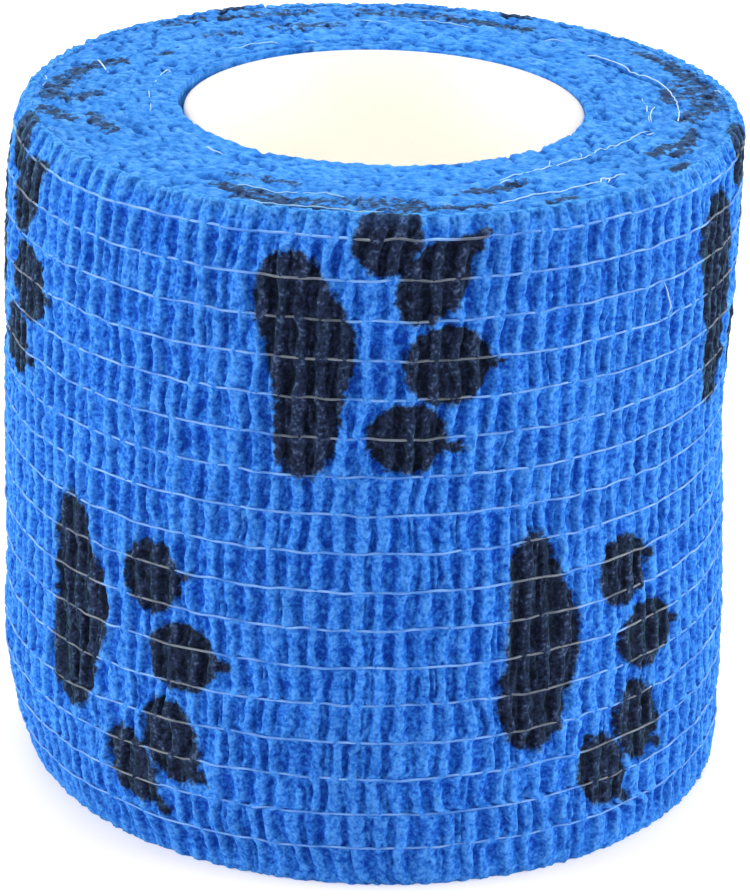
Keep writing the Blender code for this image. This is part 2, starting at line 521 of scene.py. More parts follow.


# The cloth of all the turns. Its crown and its edges have colours of their own; their blues are darker than
# the wall's, painted shade against the stronger light on the end faces.
fabric = {
    # from the bottom of a pocket to the top of a ridge, darker in the pockets as painted shade
    "blues": (
        (0.0, (0.002, 0.045, 0.34)),
        (0.5, (0.017, 0.141, 0.54)),
        (1.0, (0.062, 0.256, 0.69)),
    ),
    # the end faces' blues are painted darker as shade, to even out the stronger light from above
    "edgeBlues": (
        (0.0, (0.003, 0.062, 0.28)),
        (0.5, (0.021, 0.145, 0.460)),
        (1.0, (0.069, 0.238, 0.595)),
    ),
    "inks": (
        (0.0, (0.002, 0.004, 0.013)),
        (0.6, (0.012, 0.021, 0.055)),
        (1.0, (0.056, 0.086, 0.165)),
    ),
    "edgeInks": (
        (0.0, (0.004, 0.011, 0.036)),
        (0.6, (0.020, 0.042, 0.112)),
        (1.0, (0.052, 0.110, 0.265)),
    ),
    "blueRelief": 0.70,  # how much the relief of the crepe tells beside the mottling, as painted shade in the pockets
    "blueRange": (-0.17, 0.93),  # heights that get the first and the last blue
    # how much the relief darkens the ink in the pockets, as painted shade
    "inkRelief": 0.50,
    "inkRange": (-0.1, 1.0),
    "inkFade": 0.16,  # mm, either side of the print's edge
    # pinholes are small dark spots, painted as the shade in holes of the cloth
    "pinholeSize": 0.30,
    "pinholeDepth": 0.32,
    "patchSize": 5.0,
    "patchRange": (0.90, 1.05),
    "roughness": 0.92,
    "specular": 0.12,
    "sheenRoughness": 0.38,
    "crumbBump": 0.8,  # strength
    "hairDepth": 0.08,
    # ragged is how far the print's edge strays, in mm; sizes and bumps are in mm too
    "wall": {
        "ragged": 1.15,
        "mottling": 1.12,
        "crumbs": 0.48,
        "fibres": 0.25,
        "bump": 0.15,
        "hairs": 0.28,
        "sheen": 0.23,
        "tint": (0.14, 0.76, 0.80),
    },
    "edges": {
        "ragged": 2.3,
        "mottling": 0.84,
        "crumbs": 0.75,
        "fibres": 0.42,
        "bump": 0.22,
        "hairs": 0.20,
        "sheen": 0.16,
        "tint": (0.15, 0.62, 0.95),
    },
}


def unevenness(tree, lumps, amount):
    # lumps as a height either side of 0
    return figure(tree, "MULTIPLY", figure(tree, "SUBTRACT", lumps, 0.5), 1.5 * amount)


def fabricMaterial(name, kind):
    material, tree, shader = newMaterial(name)
    place = objectPlace(tree)
    relief = attribute(tree, "relief")
    ink = attribute(tree, "ink")
    crumbs = grain(tree, place, kind["crumbs"])
    fibres = grain(tree, place, kind["fibres"], 1.0)
    crumbHeight = unevenness(tree, crumbs, kind["mottling"])
    mottle = figure(tree, "ADD", crumbHeight, unevenness(tree, fibres, kind["mottling"]))
    # blue, painted lighter on the ridges and darker in pockets and pits as painted shade, with a few
    # pinholes painted as dark spots of shade
    holes = grain(tree, place, fabric["pinholeSize"], 1.0)
    pinholes = between(tree, holes, 0.36, 0.26, 0.0, fabric["pinholeDepth"])
    height = figure(tree, "MULTIPLY_ADD", relief, fabric["blueRelief"], mottle)
    tone = between(tree, figure(tree, "SUBTRACT", height, pinholes), *fabric["blueRange"])
    crown = attribute(tree, "crown")
    wallBlue = tones(tree, tone, fabric["blues"])
    blue = blendColours(tree, crown, wallBlue, tones(tree, tone, fabric["edgeBlues"]))
    patches = between(tree, grain(tree, place, fabric["patchSize"]), 0.3, 0.7, *fabric["patchRange"])
    shade = addNode(tree, "ShaderNodeCombineColor", {"Red": patches, "Green": patches, "Blue": patches})
    blue = blendColours(tree, 1.0, blue, shade.outputs["Color"], "MULTIPLY")
    # ink, ragged at its edge, thin on the crumbs that stood up from the print roller, and painted darker in
    # the pockets as shade
    stray = figure(tree, "SUBTRACT", grain(tree, place, 0.6, 3.0, 0.6), 0.5)
    ragged = figure(tree, "MULTIPLY", stray, kind["ragged"])
    inked = between(tree, figure(tree, "ADD", ink, ragged), fabric["inkFade"], -fabric["inkFade"])
    depth = figure(tree, "MULTIPLY_ADD", relief, fabric["inkRelief"], mottle)
    inkTone = between(tree, depth, *fabric["inkRange"])
    wallInk = tones(tree, inkTone, fabric["inks"])
    black = blendColours(tree, crown, wallInk, tones(tree, inkTone, fabric["edgeInks"]))
    coarse = addBump(tree, crumbs, fabric["crumbBump"], kind["bump"])
    looks = {
        "Base Color": blendColours(tree, inked, blue, black),
        "Roughness": fabric["roughness"],
        "Specular IOR Level": fabric["specular"],
        "Sheen Weight": kind["sheen"],
        "Sheen Roughness": fabric["sheenRoughness"],
        "Sheen Tint": (*kind["tint"], 1.0),
        "Normal": addBump(tree, fibres, kind["hairs"], fabric["hairDepth"], coarse),
    }
    fillSockets(tree, shader.inputs, looks)
    return material


wallFabric = fabricMaterial("crepe bandage", fabric["wall"])
edgeFabric = fabricMaterial("bandage edges", fabric["edges"])
print("made the fabric's materials")


# The camera stands where the photograph was taken from. Angles are in degrees, and the rest is in mm.
view = {
    "lens": 151.40,
    "sensor": 36.0,
    "distance": 282.154,
    "elevation": 22.617,
    "roll": 1.577,
    "target": (0.297, 0.0, 22.670),
    "clip": (0.01, 10.0),  # in metres
}


def addCamera():
    up, tipped = math.radians(view["elevation"]), math.radians(view["roll"])
    back = Vector((0.0, -math.cos(up), math.sin(up)))
    flatRight, flatUp = Vector((1.0, 0.0, 0.0)), Vector((0.0, math.sin(up), math.cos(up)))
    right = flatRight * math.cos(tipped) + flatUp * math.sin(tipped)
    above = flatUp * math.cos(tipped) - flatRight * math.sin(tipped)
    turned = Matrix((right, above, back)).transposed().to_4x4()
    place = (Vector(view["target"]) + back * view["distance"]) * mm
    data = bpy.data.cameras.new("camera")
    data.lens, data.sensor_width = view["lens"], view["sensor"]
    data.clip_start, data.clip_end = view["clip"]
    camera = addObject("camera", data)
    camera.matrix_world = Matrix.Translation(place) @ turned
    bpy.context.scene.camera = camera


addCamera()
print("placed the camera")


# The outer turn. Its section: (height, how far it follows the crepe, depth under it).
outerTurn = {
    "crownInside": (
        (50.0, 0.8, 0.20),
        (49.98, 0.6, 0.38),
        (49.96, 0.4, 0.56),
        (49.90, 0.2, 0.74),
        (48.2, 0.0, 0.74),
    ),
    "inside": ((28.0, 0.0, 0.80),),  # halfway up, where the wall is waisted
    "crownBelow": (
        (1.6, 0.0, 0.74),
        (0.2, 0.6, 0.50),
        (0.0, 0.8, 0.25),
    ),
    # heights of the rows outside, and between two threads their shares of the way up
    "bottomMargin": (0.06, 0.6, 1.3, 2.0, 2.65),
    "betweenThreads": (0.0, 0.07, 0.18, 0.31, 0.44, 0.57, 0.70, 0.83, 0.94),
    "topMargin": (48.466, 48.95, 49.4, 49.75, 49.96),
    "cutEnd": 0.6,  # the crepe is pressed flatter this close to either end, in ridges
    # the upper rim wears away from this height on, all of it a little, in long waves and in crumbs
    "rimFrom": 49.0,
    "rimDrop": 0.09,
    "rimWave": 0.09,
    "rimCrumb": 0.10,
    # its colour is that of the end face from this height on
    "crownFrom": 48.9,
    "crownRelief": 0.70,
    "crownSpeckle": 0.25,
}


def outerSection():
    rows = list(outerTurn["crownInside"] + outerTurn["inside"] + outerTurn["crownBelow"])
    rows += [(z, 1.0, 0.0) for z in outerTurn["bottomMargin"]]
    for gap in range(threadLine["count"] - 1):
        for share in outerTurn["betweenThreads"]:
            rows.append((threadLine["lowest"] + (gap + share) * threadLine["spacing"], 1.0, 0.0))
    return rows + [(z, 1.0, 0.0) for z in outerTurn["topMargin"]]


def shapeOuterTurn(name, places, spans):
    # spans: the first and last ridge of each length of strip in the piece
    section = np.array(outerSection())
    columns = [(round(first * len(places)), round(last * len(places))) for first, last in spans]
    tubes = [(end - start, start, 0) for start, end in columns]
    data = closedTubes(name, len(section), tubes)
    row, column = readLayer(data, "row"), readLayer(data, "column")
    z, follow, depth = section[row].T
    along, lift, relief = crepeAt(column, places, z)
    last = crepe["ridges"]
    cutEnds = ease(along / outerTurn["cutEnd"]) * ease((last - along) / outerTurn["cutEnd"])
    along = np.clip(along, 0.0, last)
    turn = along / last
    z = z + askew(turn, z)
    worn = outerTurn["rimDrop"] + outerTurn["rimWave"] * cloudy(along * 0.31, 0.0, 23)
    worn = worn + outerTurn["rimCrumb"] * cloudy(along * 3.3, depth / 0.2, 22)
    z = np.clip(z - ease((z - outerTurn["rimFrom"]) / 0.9) * worn, 0.0, roll["width"])
    placeVertices(data, windOn(turn, z, lift * follow * (0.5 + 0.5 * cutEnds) - depth))
    crumbled = outerTurn["crownRelief"] + outerTurn["crownSpeckle"] * cloudy(along * 4.3, depth / 0.2, 24)
    # on the crown the colour follows its crumbs; below the upper rim it is painted dark as shade down the
    # inner side and under the roll
    writeLayer(data, "relief", np.where(depth > 0.0, crumbled * ease((z - 47.0) / 2.5), relief))
    writeLayer(data, "crown", ease((z - outerTurn["crownFrom"]) / 0.9))
    writeLayer(data, "ink", inkEdge(lengthAt(turn), z) + 0.5 * ease(depth / 0.3))
    share = rowShares(section[:, 0], section[:, 2] + 0.5 * section[:, 1], 0.02, 0.15)
    layOut(data, len(section), share, max(count + first for count, first, _ in tubes) + 1, 1)
    finishPiece(name, data, wallFabric, "bandage_roll")


# The front half is one piece and the back, with both ends, another.
leftCut, rightCut = crepe["seams"]
shapeOuterTurn("outerTurnFront", crepe["placesFront"], [(leftCut, rightCut)])
shapeOuterTurn("outerTurnBack", crepe["placesBack"], [(0, leftCut), (rightCut, crepe["ridges"])])


# The turns under it, whose crumbled edges press together into the end faces. Section: (height, depth).
innerTurns = {
    "split": 7.0,  # the first piece has the turns down to here
    "columnLength": 0.209,
    "section": (
        (50.0, 0.36),
        (50.0, 0.46),
        (50.0, 0.56),
        (50.0, 0.65),
        (49.96, 0.73),
        (48.0, 0.70),
        (2.0, 0.70),
        (0.03, 0.73),
        (0.0, 0.52),
        (0.0, 0.20),
        (0.03, -0.03),
        (8.0, 0.06),
        (28.0, 0.06),
        (45.0, 0.06),
        (49.96, -0.03),
        (50.0, 0.06),
        (50.0, 0.16),
        (50.0, 0.26),
    ),
    "wave": 0.05,  # of each turn, in and out
    # lumps and pits of the felt that the edges make, each with finer ones among them
    "crumb": 0.13,
    "crumbSize": 0.48,
    "fineCrumbSize": 0.30,
    "pit": 0.24,
    "pitSize": 0.52,
    "finePitSize": 0.33,
    "skew": 0.21,  # so that the lumps stand in rows along no straight line of the roll
    "squash": 0.68,
    # how far edges lie below the strip's width: some turns, slow dips, open places and round the core
    "turnDrop": 0.05,
    "dip": 0.12,
    "dipLength": 9.0,
    "gape": 0.45,
    "coreDrop": 0.28,
    "coreDropFrom": 14.3,  # turns
    "darkest": 0.38,  # the drop that counts as the bottom of a pit, painted darkest there as shade
    "mapBands": 14,
}

# The middle of the upper end face, in mm towards +X, from which its azimuths and radii are measured.
faceMiddle = 0.2

# Print that shows on the upper end face, as strokes from one (azimuth, radius) to another with a half
# width in mm and how solid the stroke is.
faceInk = (
    # front
    ((239.4, 20.1), (247.1, 19.8), 0.12, 0.2), ((246.6, 19.8), (252.8, 19.9), 0.20, 0.8),
    ((241.0, 22.4), (247.0, 22.8), 0.32, 0.7), ((247.0, 22.9), (254.1, 23.5), 0.75, 0.5),
    ((253.0, 23.4), (255.0, 23.5), 0.42, 1.0), ((254.6, 23.7), (263.7, 23.9), 0.26, 0.9),
    ((256.1, 23.0), (262.3, 22.7), 0.22, 0.5), ((265.2, 22.4), (275.7, 22.4), 0.60, 0.3),
    ((268.1, 23.5), (275.7, 23.1), 0.60, 0.35), ((271.9, 24.2), (275.3, 23.9), 0.45, 0.4),
    ((273.8, 23.4), (287.3, 23.6), 0.24, 0.8), ((284.3, 20.8), (288.6, 20.7), 0.15, 0.8),
    ((288.9, 20.6), (294.8, 20.5), 0.36, 0.9), ((294.8, 20.4), (299.1, 19.8), 0.26, 0.7),
    ((297.9, 24.0), (302.3, 24.1), 0.20, 0.9), ((325.6, 24.3), (329.1, 24.4), 0.30, 0.9),
    # right
    ((330.8, 21.6), (336.2, 21.7), 0.42, 1.0), ((336.8, 22.5), (342.2, 22.8), 0.42, 1.0),
    ((332.3, 22.7), (335.8, 23.1), 0.30, 0.9), ((342.7, 22.7), (347.6, 22.3), 0.28, 0.7),
    ((4.9, 20.7), (11.5, 21.0), 0.38, 0.9), ((36.2, 23.6), (25.0, 23.9), 0.42, 0.5),
    ((24.5, 23.8), (12.8, 23.8), 0.55, 0.5), ((12.8, 23.7), (1.2, 23.2), 0.75, 0.45),
    ((0.7, 23.1), (353.5, 21.8), 0.60, 0.5), ((7.6, 22.0), (15.7, 22.5), 0.50, 0.3),
    ((9.9, 24.6), (1.8, 24.8), 0.45, 0.3),
    # back
    ((121.1, 23.8), (104.6, 23.2), 0.55, 0.3), ((114.1, 20.1), (101.5, 19.4), 0.55, 0.25),
    ((94.2, 23.0), (76.5, 22.5), 0.60, 0.35), ((75.4, 22.1), (60.9, 22.1), 0.50, 0.8),
    ((130.7, 20.5), (124.5, 20.1), 0.30, 0.2), ((149.3, 19.4), (146.8, 19.3), 0.18, 0.8),
    ((132.5, 24.3), (125.3, 24.3), 0.40, 0.3),
    # left
    ((182.3, 23.9), (172.0, 23.4), 0.55, 0.6), ((172.0, 23.4), (162.9, 22.7), 0.50, 0.6),
    ((162.3, 22.3), (157.3, 21.2), 0.50, 0.6), ((178.3, 23.9), (184.4, 22.4), 0.38, 0.6),
    ((184.4, 22.2), (179.9, 20.8), 0.42, 0.55), ((189.2, 24.3), (195.3, 23.0), 0.50, 0.6),
    ((193.5, 21.1), (198.5, 21.1), 0.28, 0.8), ((198.5, 21.1), (203.9, 20.6), 0.38, 0.6),
    ((195.1, 25.7), (201.0, 25.6), 0.50, 0.9),
)

# Where one turn stands open from the next, painted dark there as shade, from one (azimuth, radius) to
# another with a half width in mm.
faceCreases = (
    ((40.0, 20.1), (31.8, 20.0), 0.16),
    ((31.8, 20.0), (23.6, 20.1), 0.20),
    ((23.6, 20.1), (14.5, 20.9), 0.14),
    ((252.7, 24.0), (258.5, 24.2), 0.10),
    ((275.8, 24.8), (283.5, 24.9), 0.10),
)


def turnedBy(azimuth, start):
    # the short way round, in degrees
    return (azimuth - start + 180.0) % 360.0 - 180.0


def besideStroke(azimuth, radius, start, end):
    # how far a place on the end face is from a stroke between two (azimuth, radius) points, in mm
    middle = start[0] + turnedBy(end[0], start[0]) / 2
    reach = (start[1] + end[1]) / 2 * math.radians(1.0)
    right, up = turnedBy(azimuth, middle) * reach, radius - start[1]
    firstRight = turnedBy(start[0], middle) * reach
    acrossStroke, rise = -2 * firstRight, end[1] - start[1]
    share = ((right - firstRight) * acrossStroke + up * rise) / (acrossStroke ** 2 + rise ** 2)
    share = np.clip(share, 0.0, 1.0)
    return np.hypot(right - firstRight - share * acrossStroke, up - share * rise)


def edgeInk(azimuth, radius, z):
    # how far outside the nearest print, and not far below 0 inside a faint one, which shows in specks
    nearest = np.full(azimuth.shape, farFromInk)
    for start, end, halfWidth, solid in faceInk:
        outside = besideStroke(azimuth, radius, start, end) - 1.2 * halfWidth - 0.10
        nearest = np.minimum(nearest, np.maximum(outside, 0.10 - 0.55 * solid))
    return nearest + 4.0 * ease((49.0 - z) / 2.0)


def feltDrop(x, y):
    # how far the felt lies below the tops of its lumps
    size, fine = innerTurns["crumbSize"], innerTurns["fineCrumbSize"]
    crumb = 0.65 * cloudy(x / size, y / size, 33) + 0.35 * cloudy(x / fine + 0.4 * y, y / fine, 34)
    size, fine = innerTurns["pitSize"], innerTurns["finePitSize"]
    pitted = cloudy(x / size + 0.3 * y, y / size, 35) + 0.35 * cloudy(x / fine, y / fine, 38)
    return innerTurns["crumb"] * (1.0 - crumb) + innerTurns["pit"] * ease((pitted - 0.36) / 0.40)


def shapeInnerTurns(name, firstTurn, lastTurn):
    section = np.array(innerTurns["section"])
    columns = int((lengthAt(lastTurn) - lengthAt(firstTurn)) / innerTurns["columnLength"])
    data = closedTubes(name, len(section), [(columns, 0, 0)])
    row, column = readLayer(data, "row"), readLayer(data, "column")
    z, depth = section[row].T
    turn = firstTurn + (lastTurn - firstTurn) * column / columns
    along = lengthAt(turn)
    nearRim = np.maximum(ease((z - 47.0) / 2.5), ease((3.0 - z) / 2.5))
    lift = innerTurns["wave"] * cloudy(along / 0.8, 0.0, 31) * nearRim - depth
    x, y = (windOn(turn, z, lift)[:, :2] / mm).T
    azimuth, radius = np.degrees(np.arctan2(y, x - faceMiddle)), np.hypot(x - faceMiddle, y)
    # the lumps run on from one turn to the next, as the turns are pressed into one felt, and the upper
    # end face has others than the lower
    skew, apart = innerTurns["skew"], 60.0 * (z > 25.0)
    x, y = x + skew * y + apart, (y - skew * x) * innerTurns["squash"]
    drop = feltDrop(x, y)
    turnDrop = innerTurns["turnDrop"] * scatter(np.floor(turn + 0.3 * cloudy(along / 14.0, 0.0, 36)), 0, 36)
    dip = innerTurns["dip"] * (1 + cloudy(x / innerTurns["dipLength"], y / innerTurns["dipLength"], 37)) / 2
    gape = np.zeros(len(z))
    for start, end, halfWidth in faceCreases:
        gape = np.maximum(gape, ease(1.5 - besideStroke(azimuth, radius, start, end) / halfWidth))
    atCore = innerTurns["coreDrop"] * ease((turn - innerTurns["coreDropFrom"]) / 1.5)
    atCore = atCore * (0.5 + 0.5 * np.sin(np.radians(azimuth)))
    fall = drop + turnDrop + dip + innerTurns["gape"] * gape + atCore
    z = z - fall * ease((z - 48.8) / 1.0) + 0.8 * fall * ease((1.2 - z) / 1.2)
    placeVertices(data, windOn(turn, np.clip(z, 0.0, roll["width"]), lift))
    # the colour is painted darker down the pits, in the open places between turns and on the sides away
    # from the rims: painted shade
    relief = np.clip(1.0 - drop / innerTurns["darkest"], 0.0, 1.0) * (1.0 - gape)
    writeLayer(data, "relief", relief * (0.15 + 0.85 * nearRim))
    writeLayer(data, "crown", np.ones(len(z)))
    writeLayer(data, "ink", edgeInk(azimuth, radius, z))
    # heights count for a twentieth on the flat map, as most of the height is out of sight
    heights, depths = np.clip(section, 0.0, None).T
    share, bands = rowShares(0.05 * heights, depths, 0.06, 0.1), innerTurns["mapBands"]
    layOut(data, len(section), share, math.ceil((columns + 1) / bands), bands)
    finishPiece(name, data, edgeFabric, "bandage_roll")


shapeInnerTurns("innerTurnsOutside", 1.0, innerTurns["split"])
shapeInnerTurns("innerTurnsInside", innerTurns["split"], float(roll["turns"]))


# The elastic threads lie over the pockets and sink into the ridges. Lengths are in mm.
threads = {
    "columns": 640,
    "sides": 4,
    "radius": 0.098,
    "lift": -0.145,
    "sway": 0.09,
    "bob": 0.07,  # in and out, from pocket to pocket
    "slowBob": 0.05,
    "from": 0.002,  # in turns, so that no end stands out of the cloth
    "over": 0.996,
    # from the darkest to the lightest, on bare cloth and on the print
    "bare": ((0.030, 0.165, 0.52), (0.15, 0.335, 0.70)),
    "inked": ((0.040, 0.058, 0.085), (0.135, 0.16, 0.195)),
    "roughness": 0.5,
}


def threadMaterial():
    material, tree, shader = newMaterial("elastic thread")
    place, ink = objectPlace(tree), attribute(tree, "ink")
    tone = between(tree, grain(tree, place, 1.6), 0.35, 0.65)
    bare = blendColours(tree, tone, *threads["bare"])
    inked = blendColours(tree, tone, *threads["inked"])
    colour = blendColours(tree, between(tree, ink, 0.1, -0.3), bare, inked)
    fillSockets(tree, shader.inputs, {"Base Color": colour, "Roughness": threads["roughness"]})
    return material


def elasticThreads():
    columns, sides, radius = threads["columns"], threads["sides"], threads["radius"]
    tubes = [(columns, 0, band) for band in range(threadLine["count"])]
    data = closedTubes("elasticThreads", sides, tubes)
    row, column, band = [readLayer(data, layer) for layer in gridLayers]
    turn = threads["from"] + threads["over"] * column / columns
    along = lengthAt(turn)
    angle = math.tau * row / sides
    middle = threadLine["lowest"] + band * threadLine["spacing"]
    middle = middle + askew(turn, middle) + threads["sway"] * cloudy(along / 1.3, band * 7.0, 41)
    lift = threads["lift"] + threads["bob"] * cloudy(along / 0.9, band * 5.0, 42)
    lift = lift + threads["slowBob"] * cloudy(along / 7.0, band * 5.0, 43)
    placeVertices(data, windOn(turn, middle + radius * np.cos(angle), lift - radius * np.sin(angle)))
    writeLayer(data, "ink", inkEdge(along, middle))
    layOut(data, sides, (0.0, 0.25, 0.5, 0.75), columns + 1, threadLine["count"])
    finishPiece("elasticThreads", data, threadMaterial(), "bandage_roll")


elasticThreads()


# Pale fibres that have worked loose and lie on the upper end face, and one on the front of the wall.
# Each: radius in mm, whiteness, curl in mm, and its points as (azimuth, radius, height).
looseFibres = (
    # right side of the end face
    (0.048, 0.70, 0.05, (
        (41.6, 20.1, 49.68), (38.4, 20.5, 49.88), (32.0, 20.5, 49.93), (25.2, 20.5, 49.88),
        (19.7, 20.9, 49.93), (16.0, 21.2, 49.88), (9.3, 21.3, 49.88), (359.6, 21.3, 49.88),
        (353.1, 21.3, 49.88), (346.5, 21.2, 49.68),
    )),
    (0.050, 0.45, 0.06, (
        (9.8, 19.0, 49.68), (4.2, 18.9, 49.88), (358.9, 19.0, 49.88), (349.7, 19.4, 49.68),
    )),
    (0.050, 0.52, 0.04, (
        (4.0, 20.0, 49.68), (359.7, 19.5, 49.93), (354.2, 19.3, 49.88), (351.2, 19.4, 49.78),
    )),
    (0.042, 0.39, 0.05, (
        (344.7, 20.0, 49.68), (341.0, 19.9, 49.88), (343.9, 19.3, 49.68),
    )),
    (0.046, 0.33, 0.10, (
        (291.7, 19.9, 49.68), (295.1, 19.0, 49.85), (302.3, 18.4, 49.88), (308.5, 18.3, 49.86),
        (313.5, 18.3, 49.88), (318.8, 18.4, 49.88), (328.2, 18.4, 49.86), (334.2, 18.9, 49.88),
        (340.8, 19.2, 49.86), (346.3, 19.5, 49.68),
    )),
    (0.040, 0.39, 0.03, (
        (309.1, 18.3, 49.83), (310.9, 17.7, 49.93), (312.3, 17.3, 49.88),
    )),
    (0.040, 0.33, 0.03, (
        (318.7, 18.4, 49.83), (320.2, 18.0, 49.93), (321.4, 17.6, 49.88),
    )),
    (0.045, 0.45, 0.05, (
        (291.9, 20.0, 49.68), (296.7, 19.3, 49.88), (299.6, 19.1, 49.78),
    )),
    (0.050, 0.39, 0.09, (
        (286.3, 23.9, 49.68), (292.9, 23.1, 49.85), (300.1, 22.7, 49.88), (307.9, 22.5, 49.86),
        (312.6, 22.5, 49.93), (316.7, 22.4, 49.88), (319.5, 22.6, 49.68),
    )),
    (0.062, 0.92, 0.04, (
        (311.0, 22.7, 49.78), (312.3, 22.3, 49.98), (313.6, 22.6, 49.96), (312.5, 22.9, 49.88),
    )),
    (0.055, 0.26, 0.05, (
        (12.4, 24.8, 49.78), (9.9, 24.9, 49.93), (7.4, 25.1, 49.78),
    )),
    # back
    (0.045, 0.33, 0.04, (
        (54.0, 20.3, 49.78), (52.0, 20.8, 49.93), (50.1, 21.2, 49.78),
    )),
    (0.048, 0.065, 0.06, (
        (99.2, 20.9, 49.78), (94.4, 20.6, 49.90), (88.9, 20.2, 49.78),
    )),
    (0.048, 0, 0.06, (
        (83.8, 21.1, 49.78), (77.3, 20.9, 49.90), (71.1, 20.5, 49.78),
    )),
    (0.045, 0.065, 0.06, (
        (134.4, 16.8, 49.78), (126.5, 16.5, 49.90), (119.1, 16.0, 49.78),
    )),
    (0.045, 0.065, 0.05, (
        (112.6, 15.9, 49.78), (110.7, 15.4, 49.88), (109.0, 15.1, 49.78),
    )),
    # left
    (0.058, 0.92, 0.02, (
        (158.2, 22.9, 49.88), (162.0, 21.9, 49.93), (165.5, 20.9, 49.83),
    )),
    (0.055, 0.33, 0.07, (
        (164.4, 16.5, 49.78), (160.5, 16.6, 49.88), (158.6, 17.0, 49.93), (161.5, 17.1, 49.88),
        (166.7, 17.0, 49.83), (174.6, 17.0, 49.88), (186.8, 16.8, 49.83), (200.7, 17.5, 49.68),
    )),
    (0.055, 0.33, 0.07, (
        (177.6, 25.6, 49.58), (174.2, 25.4, 49.83), (170.6, 25.2, 49.88), (173.3, 24.7, 49.88),
        (176.2, 24.9, 49.68),
    )),
    (0.050, 0.2, 0.04, (
        (164.6, 25.2, 49.68), (162.5, 25.2, 49.86), (160.5, 25.1, 49.68),
    )),
    (0.055, 0.39, 0.06, (
        (222.5, 16.6, 49.78), (225.8, 17.2, 49.93), (228.6, 17.3, 49.93), (231.1, 17.1, 49.78),
    )),
    # front
    (0.045, 0.13, 0.08, (
        (240.3, 22.1, 49.78), (244.4, 21.9, 49.88), (252.4, 22.2, 49.88), (255.6, 21.7, 49.88),
        (259.3, 21.7, 49.88), (261.9, 21.6, 49.88), (265.2, 22.1, 49.78),
    )),
    (0.060, 0, 0.06, (
        (248.4, 24.0, 49.78), (252.5, 24.8, 49.88), (257.4, 24.4, 49.88), (262.6, 24.3, 49.88),
        (266.5, 24.5, 49.88), (270.5, 24.2, 49.78),
    )),
    (0.060, 0.60, 0.03, (
        (317.4, 26.65, 43.1), (318.2, 26.70, 42.2), (318.9, 26.70, 41.3), (318.4, 26.65, 40.7),
    )),
)


# How the fibres lie and look. Lengths are in mm.
loose = {
    "sides": 5,
    "columnLength": 0.16,
    "below": 0.07,  # pressed this far into the felt of the turns
    "sway": 0.08,  # and rising and dipping in it
    "taper": 0.6,  # thinner this close to either end
    "dull": ((0.10, 0.28, 0.50), (0.26, 0.44, 0.56)),
    "bright": ((0.24, 0.42, 0.80), (0.56, 0.68, 0.92)),
    "roughness": 0.5,
}


def looseMaterial():
    material, tree, shader = newMaterial("loose fibre")
    place, white = objectPlace(tree), attribute(tree, "white")
    dull = blendColours(tree, grain(tree, place, 1.2, 1.0), *loose["dull"])
    bright = blendColours(tree, grain(tree, place, 0.9, 1.0), *loose["bright"])
    colour = blendColours(tree, white, dull, bright)
    fillSockets(tree, shader.inputs, {"Base Color": colour, "Roughness": loose["roughness"]})
    return material


def standsAt(azimuth, radius, height):
    angle = math.radians(azimuth)
    return [faceMiddle + radius * math.cos(angle), radius * math.sin(angle), height]


def loosePlaces(line, knots, reach, number):
    # points along the middle of one fibre, which strays a little from the line it follows
    curl = looseFibres[number][2]
    stray = [curl * cloudy(reach / 0.55, 9.0 * number + 3.0 * axis, 51) for axis in range(3)]
    stray[2] = stray[2] + loose["sway"] * cloudy(reach / 1.1, 5.0 * number, 53) - loose["below"]
    places = [smoothCurve(reach, knots, line[:, axis]) + stray[axis] for axis in range(3)]
    return np.stack(places, axis=-1)


def unitLong(arrows):
    return arrows / np.linalg.norm(arrows, axis=1)[:, None]


def looseFilaments():
    sides = loose["sides"]
    lines = [np.array([standsAt(*point) for point in fibre[3]]) for fibre in looseFibres]
    knots = [np.append(0.0, np.cumsum(np.linalg.norm(np.diff(line, axis=0), axis=1))) for line in lines]
    counts = [max(6, int(knot[-1] / loose["columnLength"])) for knot in knots]
    data = closedTubes("looseFilaments", sides, [(count, 0, band) for band, count in enumerate(counts)])
    row, column, band = [readLayer(data, layer) for layer in gridLayers]
    places, white = np.zeros((len(row), 3)), np.zeros(len(row))
    for number, (line, knot) in enumerate(zip(lines, knots)):
        mine = band == number
        reach = column[mine] / counts[number] * knot[-1]
        middle = loosePlaces(line, knot, reach, number)
        before = loosePlaces(line, knot, np.maximum(reach - 0.06, 0.0), number)
        after = loosePlaces(line, knot, np.minimum(reach + 0.06, knot[-1]), number)
        outward = middle * (0.02, 0.02, 0.0) + (0.0, 0.0, 1.0)
        side = unitLong(np.cross(after - before, outward))
        over = unitLong(np.cross(side, after - before))
        angle = math.tau * row[mine] / sides
        taper = 0.45 + 0.55 * ease(np.minimum(reach, knot[-1] - reach) / loose["taper"])
        thick = (looseFibres[number][0] * taper * (1.0 + 0.25 * cloudy(reach / 0.4, number, 52)))[:, None]
        places[mine] = middle + thick * (np.cos(angle)[:, None] * side + np.sin(angle)[:, None] * over)
        white[mine] = looseFibres[number][1]
    placeVertices(data, places * mm)
    writeLayer(data, "white", white)
    layOut(data, sides, (0.0, 0.2, 0.4, 0.6, 0.8), max(counts) + 1, len(looseFibres))
    finishPiece("looseFilaments", data, looseMaterial(), "bandage_roll")


looseFilaments()


# The core: one section turned once round, with eased rims. Lengths are in mm.
core = {
    "radius": 14.48,
    "wall": 0.9,
    "length": 49.36,
    "ease": 0.25,
    "sides": 160,
    # the cream has a faint cloud in it, and the rim is painted greyer as shade
    "inside": ((0.755, 0.74, 0.662), (0.775, 0.76, 0.692)),
    "rim": (0.50, 0.49, 0.485),
    "rimFrom": 49.07,
    "rimTo": 49.23,
    "roughness": 0.42,
}


